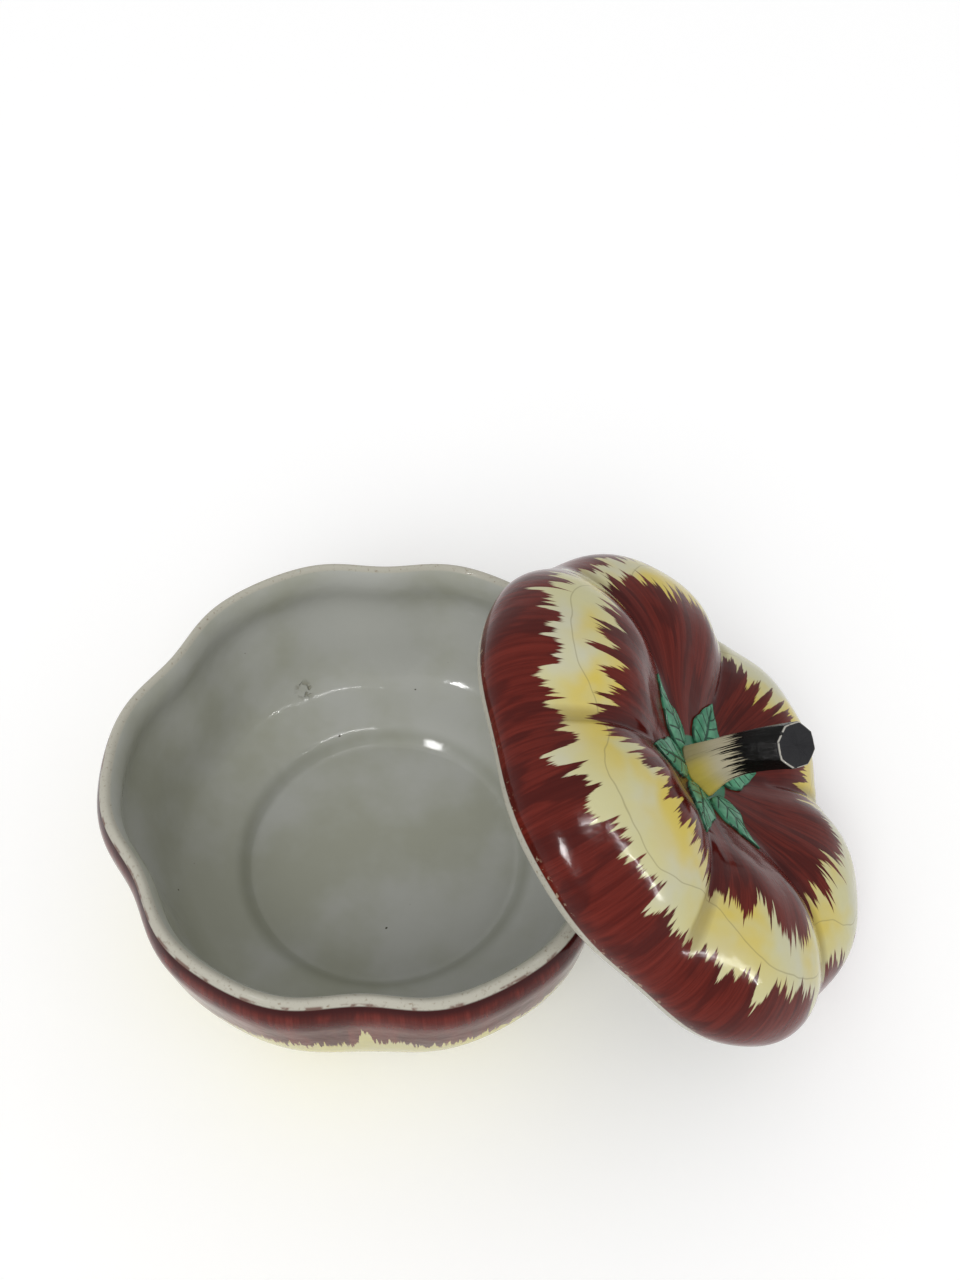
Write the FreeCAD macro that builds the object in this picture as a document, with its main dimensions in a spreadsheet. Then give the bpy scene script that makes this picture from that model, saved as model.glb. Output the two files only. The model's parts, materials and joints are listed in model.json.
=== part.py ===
"""Six-lobed glazed tureen with its lid taken off and leaning on the bowl.

Millimetres, +Z up. The origin is the middle of the bowl's foot, on the table.
The lid's pieces are built in the lid's own frame, with the origin in the middle of
its rim and +Z through the stem, and one placement then leans them on the bowl.
"""
import FreeCAD, Part
import math
import os
import Sketcher

LOBES = 6
ANGLE_STEPS = 12        # steps across one lobe, furrow to furrow
HALVINGS = 24           # steps of a search by halving
UP = FreeCAD.Vector(0, 0, 1)

SIZES = {
    # Bowl
    "rim_radius": 115.0,        # crests of the lobes, at the rim
    "bowl_height": 97.0,
    "bowl_wall": 7.0,
    "bowl_furrow": 0.0566,      # how far a furrow cuts in, as a share of the radius
    "bowl_turn": 30.0,          # angle of the first furrow, degrees
    "bowl_notch_power": 2.4,
    "foot_radius": 66.0,
    "foot_ring_width": 6.0,
    "foot_recess": 3.0,
    "well_margin": 0.9,         # crease round the well in the floor, outside the foot's edge
    "well_height": 17.0,
    "floor_margin": 4.0,        # flat of the floor, inside the foot's edge
    "floor_height": 12.5,
    # Lid
    "lid_radius": 108.6,
    "lid_height": 46.0,
    "lid_wall": 6.2,
    "lid_furrow": 0.046,
    "lid_furrow_drop": 8.0,     # how far a furrow sinks below the crests
    "lid_notch_power": 2.0,
    "dimple_depth": 19.0,
    "seat_radius": 14.0,        # flat on which the stem stands
    "pad_radius": 24.0,         # flat under the stem, inside the lid
    "pad_height": 13.0,
    # Lean of the lid against the bowl
    "lean_tilt": 45.7,
    "lean_heading": 5.5,
    "lean_turn": 8.0,
    "lean_y": -5.5,
    "lean_clearance": 0.4,      # between the bowl's rim and the pad inside the lid
    # Stem
    "stem_foot_radius": 12.5,
    "stem_neck_radius": 10.2,
    "stem_waist_radius": 9.2,
    "stem_tip_radius": 9.8,
    "stem_rise": 43.0,
    "stem_bend_x": 4.0,
    "stem_bend_y": -9.0,
    "stem_cut_x": -0.4,         # slant of the cut end, per unit of height
    "stem_cut_y": -0.62,
    # Calyx
    "leaf_width": 17.6,
    "leaf_thickness": 2.6,
    "leaf_edge": 0.9,
    "leaf_sink": 0.1,           # how far the leaves press into the lid
    "leaf_start": 12.9,         # distance of a leaf's root from the stem's middle
}

# Direction of each leaf in the lid's frame, and its reach as a share of the lid's radius
LEAVES = {
    "calyx_leaf_1": (134.0, 0.41),
    "calyx_leaf_2": (63.0, 0.345),
    "calyx_leaf_3": (183.0, 0.40),
    "calyx_leaf_4": (235.0, 0.42),
    "calyx_leaf_5": (290.0, 0.365),
    "calyx_leaf_6": (6.0, 0.335),
}


def make_sheet(doc):
    sheet = doc.addObject("Spreadsheet::Sheet", "Sizes")
    for row, (alias, value) in enumerate(SIZES.items(), start=1):
        sheet.set("A%d" % row, alias)
        sheet.set("B%d" % row, str(value))
        sheet.setAlias("B%d" % row, alias)
    doc.recompute()
    return sheet


def polar(radius, degrees, height):
    angle = math.radians(degrees)
    return FreeCAD.Vector(radius * math.cos(angle), radius * math.sin(angle), height)


def notch(degrees, power):
    """One in a furrow, at 0 degrees and every sixth of a turn; zero on a crest."""
    return ((1 + math.cos(math.radians(LOBES * degrees))) / 2) ** power


def inset(points, distance):
    """Move every inner point of a profile to its right by a distance."""
    moved = []
    for before, here, after in zip(points, points[1:], points[2:]):
        along_r = after[0] - before[0]
        along_z = after[1] - before[1]
        length = math.hypot(along_r, along_z)
        moved.append((here[0] + distance * along_z / length,
                      here[1] - distance * along_r / length))
    return moved


class Skin:
    """A lobed surface between a crest profile and a furrow profile."""

    def __init__(self, crest, furrow, power, lip_number):
        places = [0.0]
        for (r0, z0), (r1, z1) in zip(crest, crest[1:]):
            places.append(places[-1] + math.hypot(r1 - r0, z1 - z0))
        self.crest = self.curve(crest, places)
        self.furrow = self.curve(furrow, places)
        self.lip = places[lip_number]
        self.length = places[-1]
        self.power = power

    @staticmethod
    def curve(points, places):
        curve = Part.BSplineCurve()
        curve.interpolate(Points=[FreeCAD.Vector(r, 0, z) for r, z in points],
                          Parameters=places)
        return curve

    def section(self, place, degrees):
        """Radius and height of the skin at a place along its profile."""
        crest = self.crest.value(place)
        point = crest + (self.furrow.value(place) - crest) * notch(degrees, self.power)
        return point.x, point.z

    def point(self, place, degrees):
        radius, height = self.section(place, degrees)
        return polar(radius, degrees, height)

    def height_at(self, x, y, near, far):
        """Height of the skin over a point, between two places; far is further from the axis."""
        radius = math.hypot(x, y)
        degrees = math.degrees(math.atan2(y, x))
        for _ in range(HALVINGS):
            middle = (near + far) / 2
            if self.section(middle, degrees)[0] < radius:
                near = middle
            else:
                far = middle
        return self.section(near, degrees)[1]

    def patch(self):
        """The surface of one lobe, from furrow to furrow."""
        angles = [360.0 / LOBES * step / ANGLE_STEPS for step in range(ANGLE_STEPS + 1)]
        arcs = []
        for crest, furrow in zip(self.crest.getPoles(), self.furrow.getPoles()):
            poles = [crest + (furrow - crest) * notch(angle, self.power) for angle in angles]
            arc = Part.BSplineCurve()
            arc.interpolate(Points=[polar(pole.x, angle, pole.z) for pole, angle in zip(poles, angles)],
                            Parameters=angles)
            arcs.append(arc)
        surface = Part.BSplineSurface()
        surface.buildFromPolesMultsKnots(
            [arc.getPoles() for arc in arcs],
            self.crest.getMultiplicities(), arcs[0].getMultiplicities(),
            self.crest.getKnots(), arcs[0].getKnots(),
            False, False, self.crest.Degree, arcs[0].Degree)
        return surface.toShape()

    def solid(self):
        """Close the six lobes with a flat disc at each end of the profile."""
        faces = []
        for lobe in range(LOBES):
            face = self.patch()
            face.rotate(FreeCAD.Vector(), UP, 360.0 / LOBES * lobe)
            faces.append(face)
        for place in (0.0, self.length):
            faces.append(self.disc(faces, self.section(place, 0)[1]))
        shell = Part.makeShell(faces)
        shell.sewShape()
        solid = Part.makeSolid(shell)
        if solid.Volume < 0:
            solid.reverse()
        return solid

    @staticmethod
    def disc(faces, height, tolerance=1e-3):
        rims = [edge for face in faces[:LOBES] for edge in face.Edges
                if abs(edge.BoundBox.ZMin - height) < tolerance
                and abs(edge.BoundBox.ZMax - height) < tolerance]
        return Part.Face(Part.Wire(Part.__sortEdges__(rims)))


def bowl_skin(sheet):
    radius = sheet.rim_radius
    height = sheet.bowl_height
    wall = sheet.bowl_wall
    foot = sheet.foot_radius
    flare = radius - foot
    well = foot + sheet.well_margin
    outer = [
        (foot, 0.0),
        (foot + 0.30 * flare, 0.055 * height),
        (foot + 0.67 * flare, 0.25 * height),
        (foot + 0.93 * flare, 0.50 * height),
        (1.01 * radius, 0.77 * height),
        (radius, height - 0.6 * wall),
    ]
    crest = outer + [(radius - wall / 2, height), (radius - wall, height - 0.6 * wall)]
    crest += [(r - wall, z) for r, z in outer[4:3:-1]]
    crest += [(r - 1.05 * wall, z + 0.3 * wall) for r, z in outer[3:1:-1]]
    crest += [(well, sheet.well_height), (foot - sheet.floor_margin, sheet.floor_height)]
    furrow = []
    for r, z in crest:
        share = math.sin(math.pi / 2 * min(1.0, z / (0.7 * height))) ** 2
        in_floor = r <= well
        furrow.append((r, z) if in_floor else (r * (1 - sheet.bowl_furrow * share), z))
    return Skin(crest, furrow, sheet.bowl_notch_power, len(outer))


def lid_skin(sheet):
    radius = sheet.lid_radius
    height = sheet.lid_height
    wall = sheet.lid_wall
    seat_height = height - sheet.dimple_depth
    outer = [
        (sheet.seat_radius, seat_height),
        (0.33 * radius, height - 0.60 * sheet.dimple_depth),
        (0.59 * radius, height),
        (0.83 * radius, 0.90 * height),
        (0.988 * radius, 0.60 * height),
        (1.03 * radius, 0.32 * height),
        (radius, wall / 2),
    ]
    crest = outer + [(radius - wall / 2, 0.0)]
    crest += [(radius - wall, wall / 2)]
    crest += inset(outer[1:], wall)[::-1]
    crest += [(sheet.pad_radius, sheet.pad_height)]
    furrow = []
    for r, z in crest:
        sink = sheet.lid_furrow_drop * min(1.0, r / (0.6 * radius)) * max(0.0, z) / height
        on_flat = (r, z) in (crest[0], crest[-1])
        furrow.append((r, z) if on_flat else (r * (1 - sheet.lid_furrow), z - sink))
    return Skin(crest, furrow, sheet.lid_notch_power, len(outer))


def rim_points(sheet, bowl):
    """Points on the lip of the bowl, on the side where the lid leans."""
    turn = FreeCAD.Rotation(UP, sheet.bowl_turn)
    places = [bowl.lip + sheet.bowl_wall * tenths / 10 for tenths in range(-8, 3)]
    return [turn.multVec(bowl.point(place, angle - sheet.bowl_turn))
            for place in places for angle in range(-60, 61, 4)]


def lean_gap(sheet, lid, rim, lean):
    """Least room between the bowl's lip and the inside of the lid, along the lid's axis."""
    gaps = [sheet.rim_radius]
    for point in rim:
        spot = lean.inverse().multVec(point)
        if math.hypot(spot.x, spot.y) < 0.8 * sheet.lid_radius:
            inside = lid.height_at(spot.x, spot.y, lid.length, lid.lip + 2 * sheet.lid_wall)
            gaps.append(inside - spot.z)
    return min(gaps)


def lean_placement(sheet, lid, bowl):
    """Lean the lid on the bowl's lip, with its lowest edge on the table."""
    turn = FreeCAD.Rotation(UP, sheet.lean_heading)
    turn = turn.multiply(FreeCAD.Rotation(FreeCAD.Vector(0, 1, 0), sheet.lean_tilt))
    turn = turn.multiply(FreeCAD.Rotation(UP, sheet.lean_turn))
    edge = [lid.lip + sheet.lid_wall * step / 40 for step in range(-60, 21)]
    lowest = min(turn.multVec(lid.point(place, angle)).z for place in edge for angle in range(360))
    rim = rim_points(sheet, bowl)
    near, far = 0.0, 2 * sheet.rim_radius
    for _ in range(HALVINGS):
        middle = (near + far) / 2
        lean = FreeCAD.Placement(FreeCAD.Vector(middle, sheet.lean_y, -lowest), turn)
        if lean_gap(sheet, lid, rim, lean) < sheet.lean_clearance:
            near = middle
        else:
            far = middle
    return lean


def make_bowl(doc, sheet, surface):
    skin = doc.addObject("Part::Feature", "BowlSkin")
    skin.Shape = surface.solid()
    skin.Placement = FreeCAD.Placement(FreeCAD.Vector(), FreeCAD.Rotation(UP, sheet.bowl_turn))
    recess = doc.addObject("Part::Cylinder", "FootRecess")
    recess.setExpression("Radius", "Sizes.foot_radius - Sizes.foot_ring_width")
    recess.setExpression("Height", "2 * Sizes.foot_recess")
    recess.setExpression("Placement.Base.z", "-Sizes.foot_recess")
    bowl = doc.addObject("Part::Cut", "Bowl")
    bowl.Base = skin
    bowl.Tool = recess
    bowl.Label = "bowl"
    return bowl


def make_lid_shell(doc, skin, lean):
    shell = doc.addObject("Part::Feature", "LidShell")
    shell.Shape = skin.solid()
    shell.Placement = lean
    shell.Label = "lid_shell"
    return shell


def octagon_sketch(body, name, placement, radius_alias):
    """A regular octagon in a circle whose radius is a cell of the sheet."""
    sketch = body.newObject("Sketcher::SketchObject", name)
    plane = [item for item in body.Origin.OriginFeatures if item.Role == "XY_Plane"][0]
    sketch.AttachmentSupport = [(plane, "")]
    sketch.MapMode = "FlatFace"
    sketch.AttachmentOffset = placement
    radius = SIZES[radius_alias]
    corners = [polar(radius, 45.0 * corner, 0) for corner in range(8)]
    circle = sketch.addGeometry(Part.Circle(FreeCAD.Vector(), UP, radius), True)
    sketch.addConstraint(Sketcher.Constraint("Coincident", circle, 3, -1, 1))
    size = sketch.addConstraint(Sketcher.Constraint("Radius", circle, radius))
    sketch.setExpression("Constraints[%d]" % size, "Sizes.%s" % radius_alias)
    sides = [sketch.addGeometry(Part.LineSegment(corners[side], corners[(side + 1) % 8]))
             for side in range(8)]
    for side, following in zip(sides, sides[1:] + sides[:1]):
        sketch.addConstraint(Sketcher.Constraint("Coincident", side, 2, following, 1))
        sketch.addConstraint(Sketcher.Constraint("PointOnObject", side, 1, circle))
    for side in sides[1:]:
        sketch.addConstraint(Sketcher.Constraint("Equal", sides[0], side))
    sketch.addConstraint(Sketcher.Constraint("PointOnObject", sides[0], 1, -1))
    return sketch


def make_stem(doc, sheet, lean):
    """The bent, faceted stem that serves as the lid's handle."""
    body = doc.addObject("PartDesign::Body", "StemHandle")
    seat = sheet.lid_height - sheet.dimple_depth
    sections = [
        (0.00, "stem_foot_radius"),
        (0.22, "stem_neck_radius"),
        (0.55, "stem_waist_radius"),
        (1.00, "stem_tip_radius"),
    ]
    sketches = []
    for number, (along, alias) in enumerate(sections):
        middle = FreeCAD.Vector(sheet.stem_bend_x * along ** 2, sheet.stem_bend_y * along ** 2,
                                seat + sheet.stem_rise * along)
        facing = FreeCAD.Vector(2 * sheet.stem_bend_x * along, 2 * sheet.stem_bend_y * along,
                                sheet.stem_rise)
        if along == 1:
            facing = FreeCAD.Vector(sheet.stem_cut_x, sheet.stem_cut_y, 1)
        placement = FreeCAD.Placement(middle, FreeCAD.Rotation(UP, facing))
        sketches.append(octagon_sketch(body, "StemSection%d" % number, placement, alias))
    loft = body.newObject("PartDesign::AdditiveLoft", "StemLoft")
    loft.Profile = sketches[0]
    loft.Sections = sketches[1:]
    body.Placement = lean
    body.Label = "stem_handle"
    return body


def leaf_section(sheet, skin, heading, reach, along):
    """Closed outline across a leaf, lying on the lid."""
    across = (-1.0, -0.5, 0.0, 0.5, 1.0)
    shoulder = 0.3
    root_share, tip_share = 0.5, 0.05
    if along < shoulder:
        share = root_share + (1 - root_share) * math.sin(math.pi / 2 * along / shoulder)
    else:
        fade = (along - shoulder) / (1 - shoulder)
        share = tip_share + (1 - tip_share) * (1 - fade ** 1.15)
    half = sheet.leaf_width / 2 * share
    distance = sheet.leaf_start + (reach - sheet.leaf_start) * along
    under = []
    over = []
    for side in across:
        spot = FreeCAD.Vector(distance, side * half, 0)
        spot = FreeCAD.Rotation(UP, heading).multVec(spot)
        lid = skin.height_at(spot.x, spot.y, 0.0, skin.lip / 2)
        swell = sheet.leaf_edge + (sheet.leaf_thickness - sheet.leaf_edge) * (1 - side ** 2) * share
        under.append(FreeCAD.Vector(spot.x, spot.y, lid - sheet.leaf_sink))
        over.append(FreeCAD.Vector(spot.x, spot.y, lid + swell))
    over.reverse()
    edges = []
    for points in (under, over):
        curve = Part.BSplineCurve()
        curve.interpolate(points)
        edges.append(curve.toShape())
    sides = [Part.makeLine(under[-1], over[0]), Part.makeLine(over[-1], under[0])]
    return Part.Wire([edges[0], sides[0], edges[1], sides[1]])


def make_leaf(doc, sheet, skin, lean, name, heading, reach):
    steps = 8
    sections = [leaf_section(sheet, skin, heading, reach, step / steps) for step in range(steps + 1)]
    leaf = doc.addObject("Part::Feature", name)
    leaf.Shape = Part.makeLoft(sections, True, False)
    leaf.Placement = lean
    leaf.Label = name
    return leaf


def check(doc, pieces):
    for item in doc.Objects:
        if "Invalid" in item.State or "Error" in item.State:
            raise RuntimeError("%s failed: %s" % (item.Label, item.State))
    for piece in pieces:
        if piece.Shape.isNull() or not piece.Shape.isValid() or piece.Shape.Volume <= 0:
            raise RuntimeError("%s has no valid shape" % piece.Label)


def main():
    doc = FreeCAD.newDocument("Tureen")
    sheet = make_sheet(doc)
    bowl = bowl_skin(sheet)
    lid = lid_skin(sheet)
    lean = lean_placement(sheet, lid, bowl)
    pieces = [make_bowl(doc, sheet, bowl), make_lid_shell(doc, lid, lean), make_stem(doc, sheet, lean)]
    for name, (heading, share) in LEAVES.items():
        pieces.append(make_leaf(doc, sheet, lid, lean, name, heading, share * sheet.lid_radius))
    doc.recompute()
    check(doc, pieces)
    os.makedirs("parts", exist_ok=True)
    for piece in pieces:
        piece.Shape.exportStep("parts/%s.step" % piece.Label)
        print(piece.Label, "%.0f mm3" % piece.Shape.Volume)
    axis = lean.Rotation.multVec(UP)
    print("lid rim centre %.3f %.3f %.3f" % tuple(lean.Base))
    print("lid axis %.6f %.6f %.6f" % tuple(axis))


main()
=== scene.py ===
"""Looks of a six-lobed glazed tureen: hand-painted bowl, leaning lid, leafy calyx and bent stem.

Shapes are worked out in millimetres and scaled to metres when a mesh is made. The bowl is in the row frame.
The lid, its stem and its leaves are made in the lid's own frame, with the origin in the middle of its rim
and +Z through the stem, and lean() carries them to where the lid leans on the bowl.
"""
import json
import math
import bmesh
import bpy
import numpy as np
from mathutils import Matrix, Vector

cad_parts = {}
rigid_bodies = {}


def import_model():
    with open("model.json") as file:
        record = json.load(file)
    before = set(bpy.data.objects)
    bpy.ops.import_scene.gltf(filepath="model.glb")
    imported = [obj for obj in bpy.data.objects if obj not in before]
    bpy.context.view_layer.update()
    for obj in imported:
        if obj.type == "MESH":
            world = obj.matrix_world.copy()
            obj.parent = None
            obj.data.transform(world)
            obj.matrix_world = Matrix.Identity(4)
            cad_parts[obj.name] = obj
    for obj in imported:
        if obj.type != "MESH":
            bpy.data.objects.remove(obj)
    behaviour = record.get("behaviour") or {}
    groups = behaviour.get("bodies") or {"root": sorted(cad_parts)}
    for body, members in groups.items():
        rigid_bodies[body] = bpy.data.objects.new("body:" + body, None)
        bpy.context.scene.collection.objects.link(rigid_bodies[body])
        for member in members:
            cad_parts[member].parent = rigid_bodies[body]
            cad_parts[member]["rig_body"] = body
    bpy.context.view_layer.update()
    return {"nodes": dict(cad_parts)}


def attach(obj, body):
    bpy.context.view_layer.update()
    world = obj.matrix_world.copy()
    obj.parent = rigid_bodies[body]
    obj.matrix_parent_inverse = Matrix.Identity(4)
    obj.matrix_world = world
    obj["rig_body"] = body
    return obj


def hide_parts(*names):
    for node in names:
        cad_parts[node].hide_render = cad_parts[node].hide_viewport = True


MM = 0.001
LOBES = 6
COLUMNS = 288           # points round a lobed ring
FINE_ROWS = 2000        # samples of a profile
HALVINGS = 30           # steps of a search by halving
POLE_RADIUS = 1.0       # smallest ring, where a lobed piece closes with a flat cap
UP = Vector((0, 0, 1))

# Bowl
RIM_RADIUS = 115.0
BOWL_HEIGHT = 97.0
BOWL_WALL = 7.0
BOWL_FURROW = 0.0566
BOWL_TURN = 30.0
BOWL_NOTCH_POWER = 2.4
FOOT_RADIUS = 66.0
FOOT_RING_WIDTH = 6.0
FOOT_RECESS = 3.0
WELL_RADIUS = FOOT_RADIUS + 0.9
WELL_HEIGHT = 17.0
FLOOR_RADIUS = FOOT_RADIUS - 4.0
FLOOR_HEIGHT = 12.5
FOOT_FILLET = 1.2
FOOT_FILLET_MIDDLE = (0.3, 0.4)
FOOT_CHAMFER = 0.6
FLOOR_BLEND = 2.0
BOWL_ROWS = 64

# Lid
LID_RADIUS = 108.6
LID_HEIGHT = 46.0
LID_WALL = 6.2
LID_FURROW = 0.046
LID_FURROW_DROP = 8.0
LID_NOTCH_POWER = 2.0
DIMPLE_DEPTH = 19.0
SEAT_RADIUS = 14.0
PAD_RADIUS = 24.0
PAD_HEIGHT = 13.0
SEAT_HEIGHT = LID_HEIGHT - DIMPLE_DEPTH
CREASE_DEPTH = 2.6      # sharp line along the bottom of each furrow
CREASE_WIDTH = 2.1      # degrees
CREASE_IN = (0.37, 0.55)    # shares of the lid's radius between which the crease fades in
CREASE_OUT = (0.83, 0.95)   # and fades out
LID_ROWS = 80
LEAN_TILT = 45.7
LEAN_HEADING = 5.5
LEAN_TURN = 8.0
LEAN_MIDDLE = (117.451, -5.5, 74.603)   # middle of the lid's rim, as the part's source works it out

# Stem and calyx
STEM_RADII = ((0.0, 12.5), (0.22, 10.2), (0.55, 9.2), (1.0, 9.8))
STEM_RISE = 43.0
STEM_BEND = (4.0, -9.0)
STEM_CUT = (-0.4, -0.62, 1.0)
STEM_SIDES = 8
STEM_FACETING = 0.8         # share of a true octagon; the rest is round
STEM_RIDGES = 0.045         # ridges at the foot, as a share of the radius
STEM_RIDGE_END = 0.35
STEM_UNEVEN = 0.012
STEM_SWING_START = 0.55     # where the rings begin to turn to the cut
STEM_COLUMNS = 96
STEM_ROWS = 60
STEM_SHAFT_END = 0.98
STEM_END = (                # place along the stem and share of the radius, over the worn edge and the cut
    (0.992, 0.985),
    (1.0, 0.95),
    (1.0, 0.90),
    (1.0, 0.5),
    (1.0, 0.05),
)
LEAF_WIDTH = 17.6
LEAF_THICKNESS = 2.6
LEAF_EDGE = 0.9
LEAF_SINK = 0.1
LEAF_START = 12.9
LEAF_SHOULDER = 0.3
LEAF_ROOT_SHARE = 0.5
LEAF_TIP_SHARE = 0.05
LEAF_FADE_POWER = 1.4
LEAF_WAVE = 0.05
LEAF_WAVE_COUNT = 19
MIDRIB_DEPTH = 0.55
MIDRIB_WIDTH = 0.10
MIDRIB_END = 3              # how steeply the midrib runs out at the tip
LEAF_COLUMNS = 21
LEAF_ROWS = 33
LEAVES = {              # direction in degrees, and reach as a share of the lid's radius
    "calyx_leaf_1": (134.0, 0.41),
    "calyx_leaf_2": (63.0, 0.345),
    "calyx_leaf_3": (183.0, 0.40),
    "calyx_leaf_4": (235.0, 0.42),
    "calyx_leaf_5": (290.0, 0.365),
    "calyx_leaf_6": (6.0, 0.335),
}

# Painting, in millimetres from the lip or from the lid's axis
LID_BAND = 46.0
LID_CONTOUR = 47.0                # thin line round the lobes
CONTOUR_DIP = 14.0                # how far it dips in a furrow
CONTOUR_WANDER = 8.0
CONTOUR_LINE = (3.6, 4.1)
BOWL_BAND = 41.0
BOWL_SPIKE = 14.0                 # how far the yellow runs up in each furrow
BOWL_LIP = (-4.0, 3.0)            # from the outer to the inner edge of the bare lip
LIP_FADE = 0.4
BOWL_LIP_LINE = (-9.0, -5.0)      # dark line below the lip
BOWL_RUBBED = (-4.2, -3.0)
BOWL_BARE_FOOT = (-138.0, -142.0)
BOWL_WELL_SHADE = (63.5, 67.5)        # painted shade in a band round the well's step
LID_LIP = (6.6, 5.8)
LID_CHIPS = (11.0, 4.0)
LID_INSIDE_EDGE = (-4.0, -5.0)
LID_GLOW = (24.0, -2.0)           # yellow beyond the star's edge
STAR_EDGE = {28: 74, 75: 78, 112: 92, 165: 86, 212: 77, 235: 78, 271: 86, 319: 77}
COLLAR = 15.5
BLEMISH = (-42.6, 84.0, 28.7)     # crater in the bowl's glaze
BLEMISH_REACH = (6.0, 1.0)

# Brushwork, as scales of noise round an axis, and glaze
NOISE_MIDDLE = 0.5
BROAD_TONGUES = 9.0
NARROW_TONGUES = 22.0
EDGE_HAIRS = 80.0
STROKE_HAIRS = 60.0
STROKES = 12.0
STEM_HAIRS = 7.0
STEM_TEAR = 1.3                   # how far the hairs tear the black end's edge, as a share of the stem
STEM_ROOT_EDGE = (0.08, 0.34)     # shares of the stem's length
STEM_BLACK_EDGE = (0.42, 0.47)
STEM_CUT_EDGE = (0.94, 0.92)      # shares of the cut's radius
STEM_WORN_RIM = (0.935, 0.985)
GLAZE_MIRROR = 0.1                # Specular IOR Level
GLAZE_COAT = 0.06
COAT_ROUGHNESS = 0.04
GLAZE_ROUGHNESS = 0.16
BOWL_ROUGHNESS = 0.14
LIP_DULLNESS = 0.35               # added to the roughness
STEM_ROUGHNESS = 0.14
CUT_DULLNESS = 0.4
GLAZE_RIPPLE = 0.6                # relief of the bumps, in millimetres
VEIN_DEPTH = 0.3
STEM_RELIEF = 0.5

# Stage and lamps, in metres
STAGE_DROP = 0.0002
STAGE_REACH = 4
STAGE_ROUGHNESS = 0.9
STAGE_GLOW = 0.13
WORLD_LIGHT = 0.70
WORLD_WHITE = 0.95                # what camera, glossy and transmission rays see
LAMP_AIM = (0.05, 0, 0.05)
LAMPS = (                         # place, size, watts, and whether it is only seen as a highlight
    ("softbox", (-1.9, -8.7, 8.2), (7.0, 7.0), 600.0, False),
    ("window", (-0.77, -1.07, 0.95), (0.2, 0.32), 18.0, True),
    ("strip", (0.28, -0.5, 1.45), (0.55, 0.03), 6.3, True),
    ("side_strip", (1.3, -0.66, 0.95), (0.035, 1.7), 24.0, True),
)

# Camera
IMAGE_LONG_SIDE = 1280
SENSOR_WIDTH = 36.0
CLIP_START = 0.01
FOCAL_PIXELS = 1350.0
CAMERA_PLACE = (44.4, -307.3, 574.4)
CAMERA_PITCH = 52.24


def srgb(red, green, blue):
    """Linear colour of a display colour in 0 to 255."""
    def linear(value):
        value /= 255
        return value / 12.92 if value <= 0.04045 else ((value + 0.055) / 1.055) ** 2.4
    return (linear(red), linear(green), linear(blue), 1.0)


# Colours
WHITE = (1, 1, 1, 1)
STAGE_WHITE = (0.93, 0.93, 0.93, 1)
MAROON_DEEP = srgb(78, 18, 11)
MAROON_HAIR = srgb(106, 35, 26)
MAROON_OVERLAP = srgb(64, 14, 10)
MAROON_LINE = srgb(54, 11, 11)
# painted shade: darker maroon laid along the furrows of the star
MAROON_CREASE_SHADE = srgb(56, 20, 22)
MAROON_RUBBED = srgb(92, 50, 40)
LIP_CREAM = srgb(178, 175, 162)
LIP_BROWN = srgb(136, 124, 106)
INSIDE_GREY = srgb(162, 163, 149)
INSIDE_PALE = srgb(176, 177, 171)
# painted shade: darker grey for the band round the well's step
INSIDE_WELL_SHADE = srgb(126, 128, 112)
INSIDE_SPECK = srgb(74, 70, 60)
CRATER_BROWN = srgb(120, 116, 92)
BOWL_YELLOW = srgb(194, 184, 104)
BOWL_CREAM = srgb(188, 182, 138)
FOOT_CREAM = srgb(214, 205, 182)
LID_CREAM = srgb(196, 192, 148)
LID_PALE = srgb(194, 192, 166)
LID_YELLOW = srgb(204, 184, 88)
LID_LINE = srgb(112, 102, 74)
# painted shade: darker cream laid along the furrows of the lobes
LID_FOLD_SHADE = srgb(126, 110, 68)
LID_CHIP = srgb(186, 168, 142)
LID_INSIDE = srgb(160, 161, 154)
COLLAR_GREEN = srgb(60, 122, 92)
LEAF_DARK = srgb(60, 124, 94)
LEAF_LIGHT = srgb(98, 166, 130)
LEAF_VEIN = srgb(14, 42, 32)
STEM_TAN = srgb(168, 154, 114)
STEM_YELLOW = srgb(196, 176, 84)
STEM_CREAM = srgb(190, 181, 154)
STEM_BLACK = srgb(14, 14, 13)
CUT_CHARCOAL = srgb(30, 30, 33)
WORN_WHITE = srgb(176, 173, 164)


# Shapes

def natural_spline(knots, values, at):
    """Natural cubic spline through values at knots, read at the given places."""
    knots = np.asarray(knots, float)
    values = np.asarray(values, float)
    gaps = np.diff(knots)
    slopes = np.diff(values) / gaps
    size = len(knots)
    matrix = np.eye(size)
    right = np.zeros(size)
    for i in range(1, size - 1):
        matrix[i, i - 1:i + 2] = gaps[i - 1], 2 * (gaps[i - 1] + gaps[i]), gaps[i]
        right[i] = 6 * (slopes[i] - slopes[i - 1])
    bends = np.linalg.solve(matrix, right)
    cell = np.clip(np.searchsorted(knots, at) - 1, 0, size - 2)
    width = gaps[cell]
    after = knots[cell + 1] - at
    before = at - knots[cell]
    curve = (bends[cell] * after ** 3 + bends[cell + 1] * before ** 3) / (6 * width)
    curve += (values[cell] / width - bends[cell] * width / 6) * after
    curve += (values[cell + 1] / width - bends[cell + 1] * width / 6) * before
    return curve


def notch(degrees, power):
    """One in a furrow, at 0 degrees and every sixth of a turn; zero on a crest."""
    return ((1 + np.cos(np.radians(LOBES * np.asarray(degrees, float)))) / 2) ** power


def inset(points, distance):
    """Move every inner point of a profile to its right by a distance."""
    moved = []
    for before, here, after in zip(points, points[1:], points[2:]):
        along_r = after[0] - before[0]
        along_z = after[1] - before[1]
        length = math.hypot(along_r, along_z)
        moved.append((here[0] + distance * along_z / length, here[1] - distance * along_r / length))
    return moved


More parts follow.
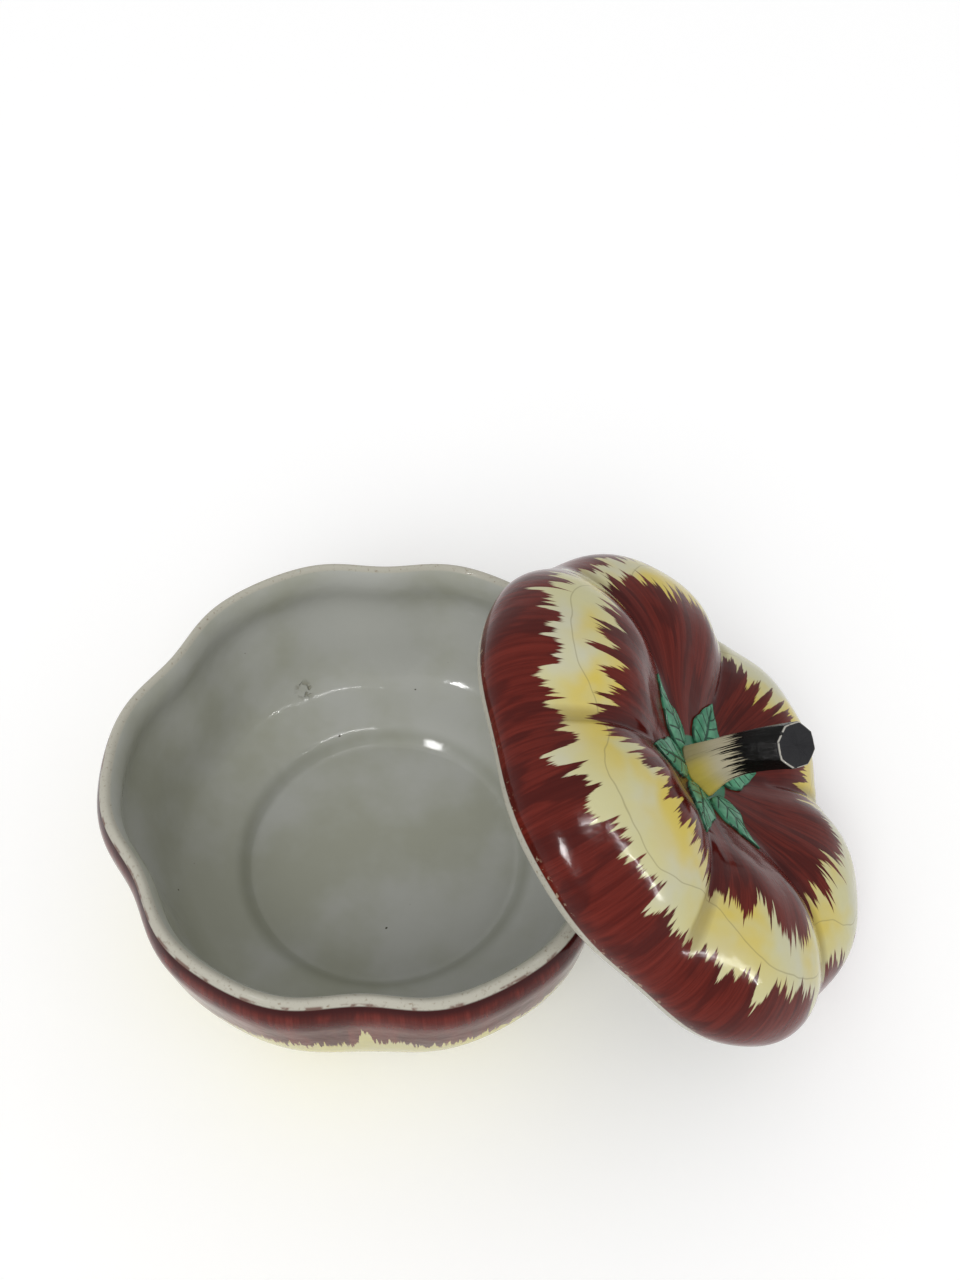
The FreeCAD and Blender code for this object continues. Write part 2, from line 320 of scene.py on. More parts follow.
class Skin:
    """A lobed surface between a crest profile and a furrow profile."""

    def __init__(self, crest, furrow, power, lip_number):
        crest, furrow = np.array(crest), np.array(furrow)
        knots = np.concatenate([[0.0], np.cumsum(np.hypot(*np.diff(crest, axis=0).T))])
        self.lip = knots[lip_number]
        self.length = knots[-1]
        self.power = power
        self.places = np.linspace(0, self.length, FINE_ROWS)
        self.crest = [natural_spline(knots, column, self.places) for column in crest.T]
        self.furrow = [natural_spline(knots, column, self.places) for column in furrow.T]

    def section(self, places, degrees):
        """Radius and height at places along the profile, one angle for each."""
        share = notch(degrees, self.power)
        pair = []
        for crest, furrow in zip(self.crest, self.furrow):
            on_crest = np.interp(places, self.places, crest)
            pair.append(on_crest + (np.interp(places, self.places, furrow) - on_crest) * share)
        return pair

    def ring_places(self, rows, near=12.0):
        """Places of the rings, closer together near the lip."""
        ends = (0.0, self.lip - near, self.lip + near, self.length)
        first, *others = [np.linspace(start, end, rows) for start, end in zip(ends, ends[1:])]
        return np.concatenate([first] + [stretch[1:] for stretch in others])

    def ring(self, place):
        """Points round the skin at one place along its profile."""
        angles = ring_angles()
        radius, height = self.section(np.full(COLUMNS, place), angles)
        turn = np.radians(angles)
        return np.stack([radius * np.cos(turn), radius * np.sin(turn), height], axis=1)

    def height_at(self, x, y):
        """Height over points of the profile's first stretch, where it runs away from the axis."""
        radius = np.hypot(x, y)
        degrees = np.degrees(np.arctan2(y, x))
        near = np.zeros_like(radius)
        far = np.full_like(radius, self.lip / 2)
        for _ in range(HALVINGS):
            middle = (near + far) / 2
            short = self.section(middle, degrees)[0] < radius
            near = np.where(short, middle, near)
            far = np.where(short, far, middle)
        return self.section(near, degrees)[1]


def ring_angles():
    """Degrees of the points round a ring."""
    return np.arange(COLUMNS) * 360.0 / COLUMNS


def round_ring(radius, height):
    """Points of a plain circle."""
    turn = np.radians(ring_angles())
    return np.stack([radius * np.cos(turn), radius * np.sin(turn), np.full(COLUMNS, height)], axis=1)


def loft(name, loops):
    """Mesh in metres through loops of equally many points, closed with a flat cap at each end."""
    count = len(loops[0])
    faces = []
    for row in range(len(loops) - 1):
        for column in range(count):
            following = (column + 1) % count
            faces.append((row * count + column, row * count + following,
                          (row + 1) * count + following, (row + 1) * count + column))
    faces.append(tuple(range(count))[::-1])
    faces.append(tuple(range((len(loops) - 1) * count, len(loops) * count)))
    mesh = bpy.data.meshes.new(name)
    mesh.from_pydata((np.concatenate(loops) * MM).tolist(), [], faces)
    mesh.polygons.foreach_set("use_smooth", [True] * len(mesh.polygons))
    piece = bpy.data.objects.new(name, mesh)
    bpy.context.scene.collection.objects.link(piece)
    return piece


def settle(piece, placement):
    """Carry a piece to its place and turn its faces outward."""
    piece.data.transform(placement)
    work = bmesh.new()
    work.from_mesh(piece.data)
    bmesh.ops.recalc_face_normals(work, faces=work.faces)
    work.to_mesh(piece.data)
    work.free()
    return piece


def paint_values(piece, name, values):
    """Store one number per point, for the piece's material to read."""
    layer = piece.data.attributes.new(name, "FLOAT", "POINT")
    layer.data.foreach_set("value", np.asarray(values, np.float32).ravel())


def paint_ring(piece, loops, rows, power):
    """Store where each point lies on a lobed piece; rows are distances from the lip."""
    points = np.concatenate(loops)
    reach = np.maximum(np.hypot(points[:, 0], points[:, 1]), 1e-6)
    paint_values(piece, "across", points[:, 0] / reach)
    paint_values(piece, "sideways", points[:, 1] / reach)
    paint_values(piece, "reach", reach)
    paint_values(piece, "place", np.repeat(rows, COLUMNS))
    paint_values(piece, "fold", np.tile(notch(ring_angles(), power), len(loops)))


def bowl_skin():
    """Skin from the foot up the outside, over the lip and down the inside to the floor."""
    flare = RIM_RADIUS - FOOT_RADIUS
    outer = [
        (FOOT_RADIUS, 0.0),
        (FOOT_RADIUS + 0.30 * flare, 0.055 * BOWL_HEIGHT),
        (FOOT_RADIUS + 0.67 * flare, 0.25 * BOWL_HEIGHT),
        (FOOT_RADIUS + 0.93 * flare, 0.50 * BOWL_HEIGHT),
        (1.01 * RIM_RADIUS, 0.77 * BOWL_HEIGHT),
        (RIM_RADIUS, BOWL_HEIGHT - 0.6 * BOWL_WALL),
    ]
    crest = outer + [(RIM_RADIUS - BOWL_WALL / 2, BOWL_HEIGHT)]
    crest += [(RIM_RADIUS - BOWL_WALL, BOWL_HEIGHT - 0.6 * BOWL_WALL)]
    crest += [(r - BOWL_WALL, z) for r, z in outer[4:3:-1]]
    crest += [(r - 1.05 * BOWL_WALL, z + 0.3 * BOWL_WALL) for r, z in outer[3:1:-1]]
    crest += [(WELL_RADIUS, WELL_HEIGHT), (FLOOR_RADIUS, FLOOR_HEIGHT)]
    furrow = []
    for r, z in crest:
        share = math.sin(math.pi / 2 * min(1.0, z / (0.7 * BOWL_HEIGHT))) ** 2
        furrow.append((r, z) if r <= WELL_RADIUS else (r * (1 - BOWL_FURROW * share), z))
    return Skin(crest, furrow, BOWL_NOTCH_POWER, len(outer))


def lid_skin():
    """Skin from the stem's seat over the outside, round the lip and back under to the pad."""
    outer = [
        (SEAT_RADIUS, SEAT_HEIGHT),
        (0.33 * LID_RADIUS, LID_HEIGHT - 0.60 * DIMPLE_DEPTH),
        (0.59 * LID_RADIUS, LID_HEIGHT),
        (0.83 * LID_RADIUS, 0.90 * LID_HEIGHT),
        (0.988 * LID_RADIUS, 0.60 * LID_HEIGHT),
        (1.03 * LID_RADIUS, 0.32 * LID_HEIGHT),
        (LID_RADIUS, LID_WALL / 2),
    ]
    crest = outer + [(LID_RADIUS - LID_WALL / 2, 0.0), (LID_RADIUS - LID_WALL, LID_WALL / 2)]
    crest += inset(outer[1:], LID_WALL)[::-1]
    crest += [(PAD_RADIUS, PAD_HEIGHT)]
    furrow = []
    for r, z in crest:
        sink = LID_FURROW_DROP * min(1.0, r / (0.6 * LID_RADIUS)) * max(0.0, z) / LID_HEIGHT
        on_flat = (r, z) in (crest[0], crest[-1])
        furrow.append((r, z) if on_flat else (r * (1 - LID_FURROW), z - sink))
    return Skin(crest, furrow, LID_NOTCH_POWER, len(outer))


def lean():
    """Placement of the lid where it leans on the bowl."""
    turn = Matrix.Rotation(math.radians(LEAN_HEADING), 4, "Z")
    turn = turn @ Matrix.Rotation(math.radians(LEAN_TILT), 4, "Y")
    turn = turn @ Matrix.Rotation(math.radians(LEAN_TURN), 4, "Z")
    return Matrix.Translation(Vector(LEAN_MIDDLE) * MM) @ turn


def make_bowl():
    """Bowl with its foot ring; rows are counted from the lip, negative outside and positive inside."""
    skin = bowl_skin()
    places = skin.ring_places(BOWL_ROWS)
    ring_inside = FOOT_RADIUS - FOOT_RING_WIDTH
    fillet_r, fillet_z = FOOT_FILLET_MIDDLE
    under = [round_ring(r, z) for r, z in (
        (POLE_RADIUS, FOOT_RECESS),
        (ring_inside - FOOT_FILLET, FOOT_RECESS),
        (ring_inside - fillet_r, FOOT_RECESS - fillet_z),
        (ring_inside, FOOT_RECESS - FOOT_FILLET),
        (ring_inside, FOOT_CHAMFER),
        (ring_inside + FOOT_CHAMFER, 0.0),
    )]
    floor_radii = (FLOOR_RADIUS - FLOOR_BLEND, FLOOR_RADIUS / 2, POLE_RADIUS)
    floor = [round_ring(r, FLOOR_HEIGHT) for r in floor_radii]
    loops = under + [skin.ring(place) for place in places] + floor
    rows = np.concatenate([np.full(len(under), 0.0), places, np.full(len(floor), skin.length)]) - skin.lip
    piece = loft("bowl_glazed", loops)
    paint_ring(piece, loops, rows, BOWL_NOTCH_POWER)
    return settle(piece, Matrix.Rotation(math.radians(BOWL_TURN), 4, "Z"))


def furrow_crease(ring):
    """Depth of the crease at each point of a ring, fading out towards the calyx and down the wall."""
    reach = np.hypot(ring[:, 0], ring[:, 1]) / LID_RADIUS
    off = np.mod(ring_angles() + 180.0 / LOBES, 360.0 / LOBES) - 180.0 / LOBES
    fade = np.interp(reach, CREASE_IN, (0, 1)) * np.interp(reach, CREASE_OUT, (1, 0))
    return CREASE_DEPTH * fade * np.exp(-(off / CREASE_WIDTH) ** 2)


def make_lid(skin):
    """Lid shell; rows are counted from the lip, positive outside and negative inside."""
    places = skin.ring_places(LID_ROWS)
    rings = [skin.ring(place) for place in places]
    for ring, place in zip(rings, places):
        if place < skin.lip:
            ring[:, 2] -= furrow_crease(ring)
    loops = [round_ring(POLE_RADIUS, SEAT_HEIGHT)] + rings + [round_ring(POLE_RADIUS, PAD_HEIGHT)]
    rows = skin.lip - np.concatenate([[0.0], places, [skin.length]])
    piece = loft("lid_painted", loops)
    paint_ring(piece, loops, rows, LID_NOTCH_POWER)
    headings, edges = zip(*sorted(STAR_EDGE.items()))
    star = np.interp(ring_angles(), headings, edges, period=360)
    paint_values(piece, "star", np.tile(star, len(loops)))
    return settle(piece, lean())


def stem_ring(along, shrink, turn):
    """Octagonal ring of the stem, which turns from its bend to the slanted cut."""
    knots, radii = zip(*STEM_RADII)
    radius = float(natural_spline(knots, radii, np.array([along]))[0]) * shrink
    half = math.pi / STEM_SIDES
    facet = math.cos(half) / np.cos(np.mod(turn, 2 * half) - half)
    flare = max(0.0, 1 - along / STEM_RIDGE_END)
    wobble = 1 + STEM_RIDGES * flare * (np.cos(5 * turn + 0.6) - 1)
    wobble = wobble + STEM_UNEVEN * np.sin(3 * turn + 9 * along)
    ring = radius * (1 - STEM_FACETING + STEM_FACETING * facet) * wobble
    bend_x, bend_y = STEM_BEND
    middle = Vector((bend_x * along ** 2, bend_y * along ** 2, SEAT_HEIGHT + STEM_RISE * along))
    facing = Vector((2 * bend_x * along, 2 * bend_y * along, STEM_RISE)).normalized()
    swing = max(0.0, (along - STEM_SWING_START) / (1 - STEM_SWING_START)) ** 1.5
    tilt = UP.rotation_difference(facing.lerp(Vector(STEM_CUT).normalized(), swing))
    flat = [Vector((r * math.cos(t), r * math.sin(t), 0)) for r, t in zip(ring, turn)]
    return np.array([middle + tilt @ point for point in flat])


def make_stem():
    """Faceted stem with a ridged, flared foot and a flat cut end with a worn edge."""
    turn = np.arange(STEM_COLUMNS) * 2 * math.pi / STEM_COLUMNS
    rows = [(along, 1.0) for along in np.linspace(0, STEM_SHAFT_END, STEM_ROWS)]
    rows += STEM_END
    loops = [stem_ring(along, shrink, turn) for along, shrink in rows]
    piece = loft("stem_painted", loops)
    along, shrink = np.array(rows).T
    paint_values(piece, "along", np.repeat(along, STEM_COLUMNS))
    paint_values(piece, "rim", np.repeat(shrink, STEM_COLUMNS))
    paint_values(piece, "across", np.tile(np.cos(turn), len(loops)))
    paint_values(piece, "sideways", np.tile(np.sin(turn), len(loops)))
    return settle(piece, lean())


def leaf_share(along):
    """Width of a leaf as a share of its widest, from root to tip."""
    if along < LEAF_SHOULDER:
        return LEAF_ROOT_SHARE + (1 - LEAF_ROOT_SHARE) * math.sin(math.pi / 2 * along / LEAF_SHOULDER)
    fade = (along - LEAF_SHOULDER) / (1 - LEAF_SHOULDER)
    return LEAF_TIP_SHARE + (1 - LEAF_TIP_SHARE) * (1 - fade ** LEAF_FADE_POWER)


def make_leaf(name, heading, reach, skin):
    """Sprigged leaf with a sunk midrib and a wavy edge; leaf_paint adds its side veins."""
    across = np.linspace(-1, 1, LEAF_COLUMNS)
    rows = np.linspace(0, 1, LEAF_ROWS)
    turn = math.radians(heading)
    loops = []
    for along in rows:
        share = leaf_share(along)
        half = LEAF_WIDTH / 2 * share * (1 + LEAF_WAVE * math.sin(LEAF_WAVE_COUNT * along))
        distance = LEAF_START + (reach - LEAF_START) * along
        x = distance * math.cos(turn) - across * half * math.sin(turn)
        y = distance * math.sin(turn) + across * half * math.cos(turn)
        lid = skin.height_at(x, y)
        swell = LEAF_EDGE + (LEAF_THICKNESS - LEAF_EDGE) * (1 - across ** 2) * share
        swell -= MIDRIB_DEPTH * np.exp(-(across / MIDRIB_WIDTH) ** 2) * min(1.0, MIDRIB_END * (1 - along))
        over = np.stack([x, y, lid + swell], axis=1)
        under = np.stack([x, y, lid - LEAF_SINK], axis=1)
        loops.append(np.concatenate([over, under[::-1]]))
    piece = loft(name + "_painted", loops)
    paint_values(piece, "side", np.tile(np.concatenate([across, across[::-1]]), len(rows)))
    paint_values(piece, "along", np.repeat(rows, 2 * len(across)))
    return settle(piece, lean())


# Materials

class Paint:
    """A material and short names for the nodes that paint it."""

    def __init__(self, name):
        self.material = bpy.data.materials.new(name)
        self.material.use_nodes = True
        self.tree = self.material.node_tree
        self.shader = self.tree.nodes["Principled BSDF"]

    def put(self, socket, value):
        """Link a node's output to a socket, or set a constant on it."""
        if isinstance(value, bpy.types.NodeSocket):
            self.tree.links.new(value, socket)
        else:
            socket.default_value = value

    def value(self, name):
        """Number stored on the mesh by paint_values."""
        node = self.tree.nodes.new("ShaderNodeAttribute")
        node.attribute_name = name
        return node.outputs["Fac"]

    def math(self, operation, *values):
        node = self.tree.nodes.new("ShaderNodeMath")
        node.operation = operation
        for socket, value in zip(node.inputs, values):
            self.put(socket, value)
        return node.outputs[0]

    def step(self, value, low, high):
        """Smooth step from 0 at low to 1 at high."""
        node = self.tree.nodes.new("ShaderNodeMapRange")
        node.interpolation_type = "SMOOTHSTEP"
        self.put(node.inputs["Value"], value)
        node.inputs["From Min"].default_value = low
        node.inputs["From Max"].default_value = high
        return node.outputs["Result"]

    def between(self, value, low, high, soft):
        """One between low and high, fading over a soft edge."""
        rise = self.step(value, low - soft, low + soft)
        fall = self.step(value, high + soft, high - soft)
        return self.both(rise, fall)

    def vector(self, x, y, z):
        node = self.tree.nodes.new("ShaderNodeCombineXYZ")
        for socket, value in zip(node.inputs, (x, y, z)):
            self.put(socket, value)
        return node.outputs[0]

    def object_place(self):
        return self.tree.nodes.new("ShaderNodeTexCoord").outputs["Object"]

    def noise(self, vector, scale=1.0, detail=2.0, roughness=0.5):
        node = self.tree.nodes.new("ShaderNodeTexNoise")
        self.put(node.inputs["Vector"], vector)
        node.inputs["Scale"].default_value = scale
        node.inputs["Detail"].default_value = detail
        node.inputs["Roughness"].default_value = roughness
        return node.outputs["Fac"]

    def cloud(self, scale, low, high, detail=3.0):
        """Patches of noise in the object's own space, cut between two levels."""
        return self.step(self.noise(self.object_place(), scale, detail, 0.55), low, high)

    def mix(self, share, first, second):
        """Colour between two colours, which a Mix node takes in sockets 6 and 7 and gives in socket 2."""
        node = self.tree.nodes.new("ShaderNodeMix")
        node.data_type = "RGBA"
        self.put(node.inputs[0], share)
        self.put(node.inputs[6], first)
        self.put(node.inputs[7], second)
        return node.outputs[2]

    def distance(self, spot):
        """Distance of a point of the surface from a spot, in metres."""
        node = self.tree.nodes.new("ShaderNodeVectorMath")
        node.operation = "DISTANCE"
        self.put(node.inputs[0], self.object_place())
        self.put(node.inputs[1], spot)
        return node.outputs["Value"]

    def both(self, first, second):
        """Product of two shares."""
        return self.math("MULTIPLY", first, second)

    def streaks(self, count, drift, seed):
        """Points drawn out along the brush strokes, which run along place; count sets how fine they are."""
        return self.vector(self.math("MULTIPLY", self.value("across"), count),
                           self.math("MULTIPLY", self.value("sideways"), count),
                           self.math("MULTIPLY_ADD", self.value("place"), drift, seed))

    def bump(self, height, distance):
        node = self.tree.nodes.new("ShaderNodeBump")
        node.inputs["Distance"].default_value = distance
        self.put(node.inputs["Height"], height)
        self.put(self.shader.inputs["Normal"], node.outputs[0])

    def glaze(self, colour, roughness=GLAZE_ROUGHNESS, coat=GLAZE_COAT):
        """Glossy surface with a low mirror share, so that white surroundings keep its colour as painted."""
        self.put(self.shader.inputs["Base Color"], colour)
        self.put(self.shader.inputs["Roughness"], roughness)
        self.shader.inputs["Specular IOR Level"].default_value = GLAZE_MIRROR
        self.shader.inputs["Coat Weight"].default_value = coat
        self.shader.inputs["Coat Roughness"].default_value = COAT_ROUGHNESS


def ragged_edge(paint, distance, seed, tongues=70.0, hairs=15.0, soft=1.0):
    """One where distance is above zero, with an edge torn into pointed tongues and single brush hairs."""
    torn = distance
    for count, depth in ((BROAD_TONGUES, tongues), (NARROW_TONGUES, tongues / 2)):
        broad = paint.noise(paint.streaks(count, 0.0, seed + count), detail=1.0)
        tongue = paint.math("ABSOLUTE", paint.math("SUBTRACT", broad, NOISE_MIDDLE))
        torn = paint.math("MULTIPLY_ADD", tongue, -depth, torn)
    fine = paint.noise(paint.streaks(EDGE_HAIRS, 0.03, seed), detail=3.0, roughness=0.65)
    torn = paint.math("MULTIPLY_ADD", paint.math("SUBTRACT", fine, NOISE_MIDDLE), hairs, torn)
    return paint.step(torn, -soft, soft)


def brushed_maroon(paint, seed):
    """Dark red-brown paint with lighter and darker brush hairs and overlapping strokes."""
    hairs = paint.noise(paint.streaks(STROKE_HAIRS, 0.02, seed), detail=5.0, roughness=0.7)
    strokes = paint.noise(paint.streaks(STROKES, 0.03, seed + 3.0))
    colour = paint.mix(paint.step(hairs, 0.30, 0.74), MAROON_DEEP, MAROON_HAIR)
    overlap = paint.both(paint.step(strokes, 0.50, 0.60), 0.7)
    return paint.mix(overlap, colour, MAROON_OVERLAP)


def bare_lip(paint):
    """Thin glaze on a lip: cream with faint brown specks."""
    specks = paint.cloud(scale=700.0, low=0.55, high=0.80)
    return paint.mix(specks, LIP_CREAM, LIP_BROWN)


def bowl_inside(paint, crater):
    """White glaze, cloudy, with painted shade in a band round the well's step, a few specks and the crater.
    """
    clouds = paint.cloud(scale=16.0, low=0.38, high=0.66, detail=4.0)
    colour = paint.mix(clouds, INSIDE_GREY, INSIDE_PALE)
    # painted shade: the glaze is darkened in a band round the well's step
    well_shade = paint.between(paint.value("reach"), *BOWL_WELL_SHADE, soft=3.0)
    colour = paint.mix(paint.both(well_shade, 0.4), colour, INSIDE_WELL_SHADE)
    specks = paint.cloud(scale=260.0, low=0.87, high=0.89, detail=0.0)
    colour = paint.mix(specks, colour, INSIDE_SPECK)
    return paint.mix(paint.both(crater, 0.7), colour, CRATER_BROWN)


def bowl_outside(paint, place):
    """Maroon band with a torn edge over yellow, and a dark line below the lip."""
    clouds = paint.cloud(scale=22.0, low=0.35, high=0.65)
    yellow = paint.mix(clouds, BOWL_YELLOW, BOWL_CREAM)
    spikes = paint.both(paint.step(paint.value("fold"), 0.98, 1.0), -BOWL_SPIKE)
    edge = paint.math("ADD", paint.math("ADD", place, BOWL_BAND), spikes)
    band = ragged_edge(paint, edge, seed=2.0, tongues=20.0, hairs=34.0)
    colour = paint.mix(band, yellow, brushed_maroon(paint, seed=5.0))
    return paint.mix(paint.step(place, *BOWL_LIP_LINE), colour, MAROON_LINE)


def bowl_paint():
    """White glaze inside, bare lip, brushed maroon band over yellow outside, bare foot."""
    paint = Paint("bowl_glaze_paint")
    place = paint.value("place")
    blemish_edge, blemish_core = BLEMISH_REACH
    from_blemish = paint.distance(Vector(BLEMISH) * MM)
    near_blemish = paint.step(from_blemish, blemish_edge * MM, blemish_core * MM)
    crater = paint.both(near_blemish, paint.cloud(scale=300.0, low=0.45, high=0.58))
    lip_start, lip_end = BOWL_LIP
    over_lip = paint.step(place, lip_start - LIP_FADE, lip_start + LIP_FADE)
    past_lip = paint.step(place, lip_end - LIP_FADE, lip_end + LIP_FADE)
    colour = paint.mix(over_lip, bowl_outside(paint, place), bare_lip(paint))
    worn = paint.cloud(scale=160.0, low=0.46, high=0.62)
    rubbed = paint.both(paint.between(place, *BOWL_RUBBED, soft=0.5), worn)
    colour = paint.mix(paint.both(rubbed, 0.8), colour, MAROON_RUBBED)
    colour = paint.mix(past_lip, colour, bowl_inside(paint, crater))
    colour = paint.mix(paint.step(place, *BOWL_BARE_FOOT), colour, FOOT_CREAM)
    lip = paint.between(place, lip_start, lip_end, soft=0.5)
    paint.glaze(colour, paint.math("MULTIPLY_ADD", lip, LIP_DULLNESS, BOWL_ROUGHNESS))
    ripple = paint.noise(paint.object_place(), scale=55.0, detail=3.0)
    paint.bump(paint.math("MULTIPLY_ADD", crater, -1.5, ripple), GLAZE_RIPPLE * MM)
    return paint.material


def lid_cream(paint, place, fold, past_star):
    """Cream lobes, yellow near the star, with a thin wavy line and painted shade darkening the furrows."""
    near_star = paint.step(past_star, *LID_GLOW)
    yellow = paint.both(paint.cloud(scale=26.0, low=0.40, high=0.62), near_star)
    clouds = paint.cloud(scale=30.0, low=0.40, high=0.62)
    colour = paint.mix(yellow, paint.mix(clouds, LID_CREAM, LID_PALE), LID_YELLOW)
    loop = paint.math("MULTIPLY_ADD", fold, -CONTOUR_DIP, paint.math("SUBTRACT", place, LID_CONTOUR))
    wander = paint.noise(paint.object_place(), scale=45.0)
    loop = paint.math("MULTIPLY_ADD", wander, CONTOUR_WANDER, loop)
    line = paint.between(loop, *CONTOUR_LINE, soft=0.3)
    colour = paint.mix(paint.both(line, 0.45), colour, LID_LINE)
    # painted shade: the cream is darkened along each furrow
    furrow = paint.step(fold, 0.95, 1.0)
    return paint.mix(paint.both(furrow, 0.5), colour, LID_FOLD_SHADE)


def lid_paint():
    """Maroon wall, cream and yellow lobes, maroon star round the calyx, white inside."""
    paint = Paint("lid_glaze_paint")
    place = paint.value("place")
    reach = paint.value("reach")
    fold = paint.value("fold")
    star_edge = paint.value("star")
    cream = lid_cream(paint, place, fold, paint.math("SUBTRACT", reach, star_edge))
    inside_star = paint.math("SUBTRACT", star_edge, reach)
    star = ragged_edge(paint, inside_star, seed=11.0, tongues=75.0, hairs=20.0)
    colour = paint.mix(star, cream, brushed_maroon(paint, seed=21.0))
    # painted shade: the maroon star is darkened along each furrow
    crease = paint.both(paint.both(star, paint.step(fold, 0.80, 1.0)), 0.45)
    colour = paint.mix(crease, colour, MAROON_CREASE_SHADE)
    wall = ragged_edge(paint, paint.math("SUBTRACT", LID_BAND, place), seed=1.0)
    colour = paint.mix(wall, colour, brushed_maroon(paint, seed=31.0))
    worn = paint.cloud(scale=330.0, low=0.60, high=0.66)
    colour = paint.mix(paint.both(paint.step(place, *LID_CHIPS), worn), colour, LID_CHIP)
    colour = paint.mix(paint.step(reach, COLLAR + 1.0, COLLAR), colour, COLLAR_GREEN)
    colour = paint.mix(paint.step(place, *LID_LIP), colour, bare_lip(paint))
    colour = paint.mix(paint.step(place, *LID_INSIDE_EDGE), colour, LID_INSIDE)
    paint.glaze(colour)
    paint.bump(paint.noise(paint.object_place(), scale=60.0, detail=3.0), GLAZE_RIPPLE * MM)
    return paint.material


def leaf_paint():
    """Green glaze with dark veins and edges."""
    paint = Paint("leaf_glaze_paint")
    side = paint.math("ABSOLUTE", paint.value("side"))
    along = paint.value("along")
    green = paint.mix(paint.cloud(scale=160.0, low=0.35, high=0.70), LEAF_DARK, LEAF_LIGHT)
    slant = paint.math("MULTIPLY_ADD", side, -1.1, paint.both(along, 5.0))
    ribs = paint.math("PINGPONG", slant, 0.5)
    veins = paint.both(paint.step(ribs, 0.10, 0.04), paint.step(side, 0.95, 0.80))
    midrib = paint.step(side, 0.12, 0.05)
    worn = paint.cloud(scale=160.0, low=0.40, high=0.55)
    edge = paint.both(paint.step(side, 0.86, 0.97), worn)
    dark = paint.math("MAXIMUM", paint.math("MAXIMUM", veins, midrib), edge)
    paint.glaze(paint.mix(paint.both(dark, 0.85), green, LEAF_VEIN))
    paint.bump(dark, -VEIN_DEPTH * MM)
    return paint.material


def stem_paint():
    """Yellow foot, cream middle, black brushed end, and a charcoal cut with a worn rim."""
    paint = Paint("stem_glaze_paint")
    along = paint.value("along")
    rim = paint.value("rim")
    sideways = paint.value("sideways")
    round_x = paint.both(paint.value("across"), STEM_HAIRS)
    round_y = paint.both(sideways, STEM_HAIRS)
    hairs = paint.noise(paint.vector(round_x, round_y, along), detail=4.0, roughness=0.75)
    root = paint.mix(paint.step(sideways, 0.4, -0.4), STEM_TAN, STEM_YELLOW)
    cream = paint.mix(paint.step(along, *STEM_ROOT_EDGE), root, STEM_CREAM)
    edge = paint.math("MULTIPLY_ADD", paint.math("SUBTRACT", hairs, NOISE_MIDDLE), STEM_TEAR, along)
    colour = paint.mix(paint.step(edge, *STEM_BLACK_EDGE), cream, STEM_BLACK)
    cut = paint.step(rim, *STEM_CUT_EDGE)
    colour = paint.mix(cut, colour, CUT_CHARCOAL)
    chips = paint.cloud(scale=420.0, low=0.38, high=0.46)
    worn = paint.both(paint.between(rim, *STEM_WORN_RIM, soft=0.01), chips)
    matt = paint.math("MULTIPLY_ADD", cut, CUT_DULLNESS, STEM_ROUGHNESS)
    paint.glaze(paint.mix(worn, colour, WORN_WHITE), matt, coat=0.0)
    paint.bump(hairs, STEM_RELIEF * MM)
    return paint.material


# Stage

def background_rays(tree):
    """One for the rays that show the background: from the camera, off a glaze or through glass."""
    rays = tree.nodes.new("ShaderNodeLightPath").outputs
    seen = rays["Is Camera Ray"]
    for ray in ("Is Glossy Ray", "Is Transmission Ray"):
        either = tree.nodes.new("ShaderNodeMath")
        either.operation = "MAXIMUM"
        tree.links.new(seen, either.inputs[0])
        tree.links.new(rays[ray], either.inputs[1])
        seen = either.outputs["Value"]
    return seen


def make_floor():
    """White table, with a little glow where it is seen, so that the background comes out white."""
    mesh = bpy.data.meshes.new("floor")
    sides = ((-1, -1), (1, -1), (1, 1), (-1, 1))
    corners = [(x * STAGE_REACH, y * STAGE_REACH, -STAGE_DROP) for x, y in sides]
    mesh.from_pydata(corners, [], [(0, 1, 2, 3)])
    floor = bpy.data.objects.new("floor", mesh)
    bpy.context.scene.collection.objects.link(floor)
    paint = Paint("floor_white")
    glow = paint.both(background_rays(paint.tree), STAGE_GLOW)
    paint.put(paint.shader.inputs["Base Color"], STAGE_WHITE)
    paint.put(paint.shader.inputs["Roughness"], STAGE_ROUGHNESS)
    paint.put(paint.shader.inputs["Emission Color"], WHITE)
    paint.put(paint.shader.inputs["Emission Strength"], glow)
    floor.data.materials.append(paint.material)


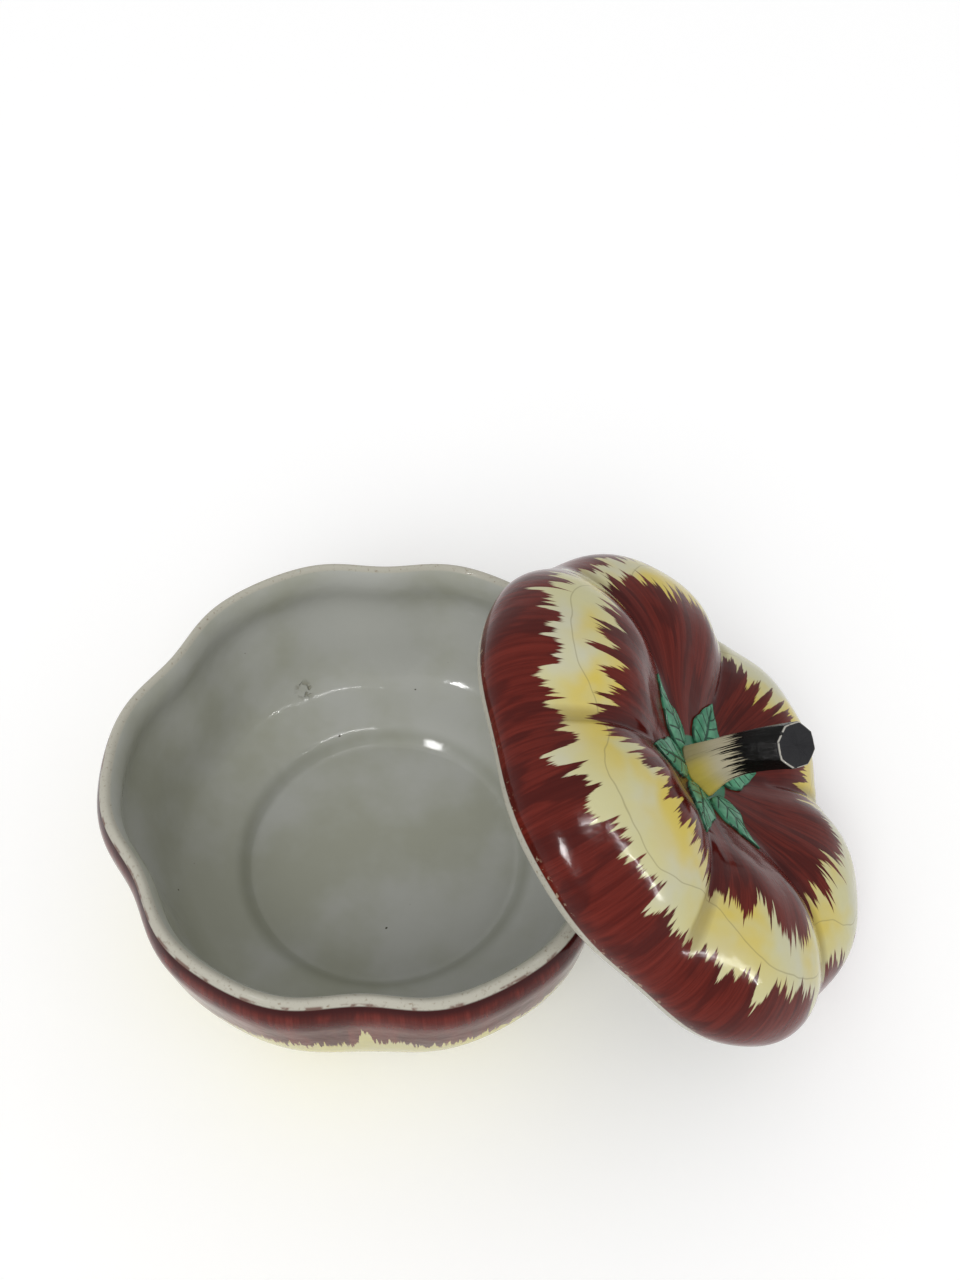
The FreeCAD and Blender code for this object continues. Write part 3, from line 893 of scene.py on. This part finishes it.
def area_light(name, place, size, power, mirrored):
    """Lamp aimed at the tureen; a mirrored one only shows as a highlight, and others leave none."""
    lamp = bpy.data.lights.new(name, "AREA")
    lamp.shape = "RECTANGLE"
    lamp.size, lamp.size_y = size
    lamp.energy = power
    light = bpy.data.objects.new(name, lamp)
    light.location = place
    light.rotation_euler = (Vector(LAMP_AIM) - light.location).to_track_quat("-Z", "Y").to_euler()
    light.visible_glossy = mirrored
    light.visible_diffuse = not mirrored
    light.visible_camera = False
    bpy.context.scene.collection.objects.link(light)


def make_light():
    """Even surroundings, white where they are seen, a far softbox and three lamps for the glints."""
    world = bpy.data.worlds.new("studio")
    bpy.context.scene.world = world
    world.use_nodes = True
    tree = world.node_tree
    strength = tree.nodes.new("ShaderNodeMapRange")
    strength.inputs["To Min"].default_value = WORLD_LIGHT
    strength.inputs["To Max"].default_value = WORLD_WHITE
    tree.links.new(background_rays(tree), strength.inputs["Value"])
    tree.links.new(strength.outputs["Result"], tree.nodes["Background"].inputs["Strength"])
    tree.nodes["Background"].inputs["Color"].default_value = WHITE
    for lamp in LAMPS:
        area_light(*lamp)


def make_camera():
    """Camera where the photo was taken from, as fitted to the bowl's rim and well and the lid's outline."""
    lens = bpy.data.cameras.new("camera")
    lens.sensor_width = SENSOR_WIDTH
    lens.lens = FOCAL_PIXELS / IMAGE_LONG_SIDE * SENSOR_WIDTH
    lens.clip_start = CLIP_START
    eye = bpy.data.objects.new("camera", lens)
    eye.location = Vector(CAMERA_PLACE) * MM
    eye.rotation_euler = (math.radians(90 - CAMERA_PITCH), 0, 0)
    bpy.context.scene.collection.objects.link(eye)
    bpy.context.scene.camera = eye


def dress(frame, piece, material, node):
    """Put a finished piece in the place of a node, on the node's body and in its material slot."""
    piece.data.materials.append(material)
    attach(piece, frame["nodes"][node]["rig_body"])
    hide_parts(node)


def main():
    """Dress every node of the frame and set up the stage."""
    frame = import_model()
    bpy.context.scene.view_settings.view_transform = "Standard"
    lid = lid_skin()
    green = leaf_paint()
    dress(frame, make_bowl(), bowl_paint(), "bowl")
    dress(frame, make_lid(lid), lid_paint(), "lid_shell")
    dress(frame, make_stem(), stem_paint(), "stem_handle")
    for name, (heading, share) in LEAVES.items():
        dress(frame, make_leaf(name, heading, share * LID_RADIUS, lid), green, name)
    make_floor()
    make_light()
    make_camera()


main()
